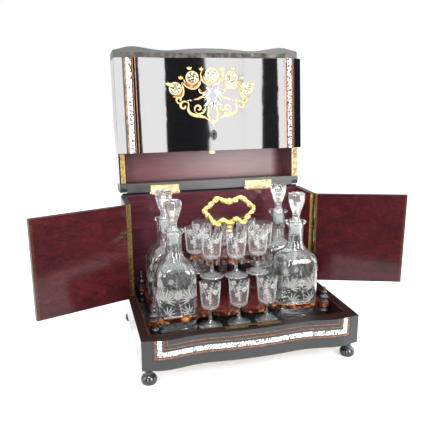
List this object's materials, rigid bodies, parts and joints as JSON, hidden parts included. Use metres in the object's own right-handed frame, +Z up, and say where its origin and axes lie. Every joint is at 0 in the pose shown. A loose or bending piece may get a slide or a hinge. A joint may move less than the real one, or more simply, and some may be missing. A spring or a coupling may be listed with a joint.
{
  "type": "liqueur cabinet",
  "caption": "Box cabinet on bun feet with a hinged lid, a folding front panel, side doors and a lift-out caddy of stoppered decanters and stemmed glasses.",
  "frame": {"origin": "centre of the open cabinet's bounding box at floor level, under the feet", "axes": "+X to the right seen from the front, +Y towards the back, +Z up"},
  "size_m": [0.6156, 0.3308, 0.4716],
  "materials": {
    "ebonised_wood": "black french polish",
    "mahogany": "polished red mahogany",
    "secondary_wood": "plain sawn softwood",
    "tier_veneer": "polished red veneer with amber edges",
    "copper_inlay": "reddish metal stringing, polished flush",
    "shell_inlay": "crushed mother of pearl in dark mastic, polished",
    "brass": "polished brass",
    "aged_brass": "dull brass with patina",
    "lock_steel": "filed iron",
    "gilt": "chased gilt bronze",
    "cut_crystal": "clear crystal with etched leaves",
    "etched_glass": "clear glass with etched sprigs"
  },
  "bodies": {
    "cabinet": {"base_front": "ebonised_wood", "base_inlay_copper": "copper_inlay", "base_inlay_pearl": "shell_inlay", "strike_plate": "brass", "base_sides": "ebonised_wood", "base_back": "ebonised_wood", "bottom_board": "secondary_wood", "well_lining": "mahogany", "feet": "ebonised_wood", "back_board": "mahogany", "lid_fixed_leaves": "brass", "side_returns": "ebonised_wood", "door_fixed_leaves": "aged_brass"},
    "lid": {"lid_board": "ebonised_wood", "lid_front_rim": "ebonised_wood", "lid_side_rims": "ebonised_wood", "lid_rear_rim": "ebonised_wood", "lid_moving_leaves": "brass", "lid_hinge_screws": "brass", "lid_end_plates": "brass", "lid_lining": "mahogany", "front_hinge_upper_leaf": "brass"},
    "panel": {"front_panel": "ebonised_wood", "panel_inlay_copper": "copper_inlay", "panel_inlay_pearl": "shell_inlay", "panel_cartouche": "brass", "keyhole_escutcheon": "brass", "lock_case": "lock_steel", "front_hinge_lower_leaf": "brass"},
    "bolt": {"lock_bolt": "brass"},
    "door_left": {"left_door": "mahogany", "left_door_leaf": "aged_brass"},
    "door_right": {"right_door": "mahogany", "right_door_leaf": "aged_brass"},
    "caddy": {"caddy_base_board": "ebonised_wood", "caddy_lower_tier": "tier_veneer", "caddy_upper_tier": "tier_veneer", "caddy_corner_posts": "ebonised_wood", "caddy_columns": "ebonised_wood", "caddy_rod": "ebonised_wood", "caddy_handle": "gilt"},
    "decanter_front_left_body": {"decanter_front_left": "cut_crystal"},
    "stopper_front_left_body": {"stopper_front_left": "cut_crystal"},
    "decanter_front_right_body": {"decanter_front_right": "cut_crystal"},
    "stopper_front_right_body": {"stopper_front_right": "cut_crystal"},
    "decanter_rear_left_body": {"decanter_rear_left": "cut_crystal"},
    "stopper_rear_left_body": {"stopper_rear_left": "cut_crystal"},
    "decanter_rear_right_body": {"decanter_rear_right": "cut_crystal"},
    "stopper_rear_right_body": {"stopper_rear_right": "cut_crystal"},
    "glass_lower_left_body": {"glass_lower_left": "etched_glass"},
    "glass_lower_centre_body": {"glass_lower_centre": "etched_glass"},
    "glass_lower_right_body": {"glass_lower_right": "etched_glass"},
    "glass_front_left_body": {"glass_front_left": "etched_glass"},
    "glass_front_centre_body": {"glass_front_centre": "etched_glass"},
    "glass_front_right_body": {"glass_front_right": "etched_glass"},
    "glass_side_left_body": {"glass_side_left": "etched_glass"},
    "glass_side_right_body": {"glass_side_right": "etched_glass"},
    "glass_rear_left_body": {"glass_rear_left": "etched_glass"},
    "glass_rear_centre_body": {"glass_rear_centre": "etched_glass"},
    "glass_rear_right_body": {"glass_rear_right": "etched_glass"}
  },
  "joints": [
    {"name": "lid_hinge", "type": "hinge", "parent": "cabinet", "child": "lid", "pos_m": [0, 0.08107, 0.2263], "axis": [-1, 0, 0], "range_deg": [-95.74, 0]},
    {"name": "panel_hinge", "type": "hinge", "parent": "lid", "child": "panel", "pos_m": [0, 0.1037, 0.45137], "axis": [1, 0, 0], "range_deg": [-90, 0]},
    {"name": "left_door_hinge", "type": "hinge", "parent": "cabinet", "child": "door_left", "pos_m": [-0.1654, 0.00577, 0.14815], "axis": [0, 0, -1], "range_deg": [-70.4, 99.6]},
    {"name": "right_door_hinge", "type": "hinge", "parent": "cabinet", "child": "door_right", "pos_m": [0.1654, 0.00577, 0.14815], "axis": [0, 0, 1], "range_deg": [-70.4, 99.6]},
    {"name": "bolt_slide", "type": "slide", "parent": "panel", "child": "bolt", "axis": [0, -0.1, -0.995], "range_m": [-0.0052, 0]},
    {"name": "caddy_lift", "type": "slide", "parent": "cabinet", "child": "caddy", "axis": [0, 0, 1], "range_m": [0, 0.25]},
    {"name": "decanter_front_left_lift", "type": "slide", "parent": "caddy", "child": "decanter_front_left_body", "axis": [0, 0, 1], "range_m": [0, 0.18]},
    {"name": "decanter_front_right_lift", "type": "slide", "parent": "caddy", "child": "decanter_front_right_body", "axis": [0, 0, 1], "range_m": [0, 0.18]},
    {"name": "decanter_rear_left_lift", "type": "slide", "parent": "caddy", "child": "decanter_rear_left_body", "axis": [0, 0, 1], "range_m": [0, 0.18]},
    {"name": "decanter_rear_right_lift", "type": "slide", "parent": "caddy", "child": "decanter_rear_right_body", "axis": [0, 0, 1], "range_m": [0, 0.18]},
    {"name": "stopper_front_left_lift", "type": "slide", "parent": "decanter_front_left_body", "child": "stopper_front_left_body", "axis": [0, 0, 1], "range_m": [0, 0.05]},
    {"name": "stopper_front_right_lift", "type": "slide", "parent": "decanter_front_right_body", "child": "stopper_front_right_body", "axis": [0, 0, 1], "range_m": [0, 0.05]},
    {"name": "stopper_rear_left_lift", "type": "slide", "parent": "decanter_rear_left_body", "child": "stopper_rear_left_body", "axis": [0, 0, 1], "range_m": [0, 0.05]},
    {"name": "stopper_rear_right_lift", "type": "slide", "parent": "decanter_rear_right_body", "child": "stopper_rear_right_body", "axis": [0, 0, 1], "range_m": [0, 0.05]},
    {"name": "glass_lower_left_slide", "type": "slide", "parent": "caddy", "child": "glass_lower_left_body", "axis": [0, -1, 0], "range_m": [0, 0.038]},
    {"name": "glass_lower_centre_slide", "type": "slide", "parent": "caddy", "child": "glass_lower_centre_body", "axis": [0, -1, 0], "range_m": [0, 0.038]},
    {"name": "glass_lower_right_slide", "type": "slide", "parent": "caddy", "child": "glass_lower_right_body", "axis": [0, -1, 0], "range_m": [0, 0.038]},
    {"name": "glass_front_left_slide", "type": "slide", "parent": "caddy", "child": "glass_front_left_body", "axis": [0, -1, 0], "range_m": [0, 0.038]},
    {"name": "glass_front_centre_slide", "type": "slide", "parent": "caddy", "child": "glass_front_centre_body", "axis": [0, -1, 0], "range_m": [0, 0.038]},
    {"name": "glass_front_right_slide", "type": "slide", "parent": "caddy", "child": "glass_front_right_body", "axis": [0, -1, 0], "range_m": [0, 0.038]},
    {"name": "glass_side_left_lift", "type": "slide", "parent": "caddy", "child": "glass_side_left_body", "axis": [0, 0, 1], "range_m": [0, 0.016]},
    {"name": "glass_side_right_lift", "type": "slide", "parent": "caddy", "child": "glass_side_right_body", "axis": [0, 0, 1], "range_m": [0, 0.016]},
    {"name": "glass_rear_left_slide", "type": "slide", "parent": "caddy", "child": "glass_rear_left_body", "axis": [0, 1, 0], "range_m": [0, 0.038]},
    {"name": "glass_rear_centre_slide", "type": "slide", "parent": "caddy", "child": "glass_rear_centre_body", "axis": [0, 1, 0], "range_m": [0, 0.038]},
    {"name": "glass_rear_right_slide", "type": "slide", "parent": "caddy", "child": "glass_rear_right_body", "axis": [0, 1, 0], "range_m": [0, 0.038]}
  ],
  "couplings": [
    {"joint": "panel_hinge", "follows": "lid_hinge", "ratio": 0.94005}
  ]
}
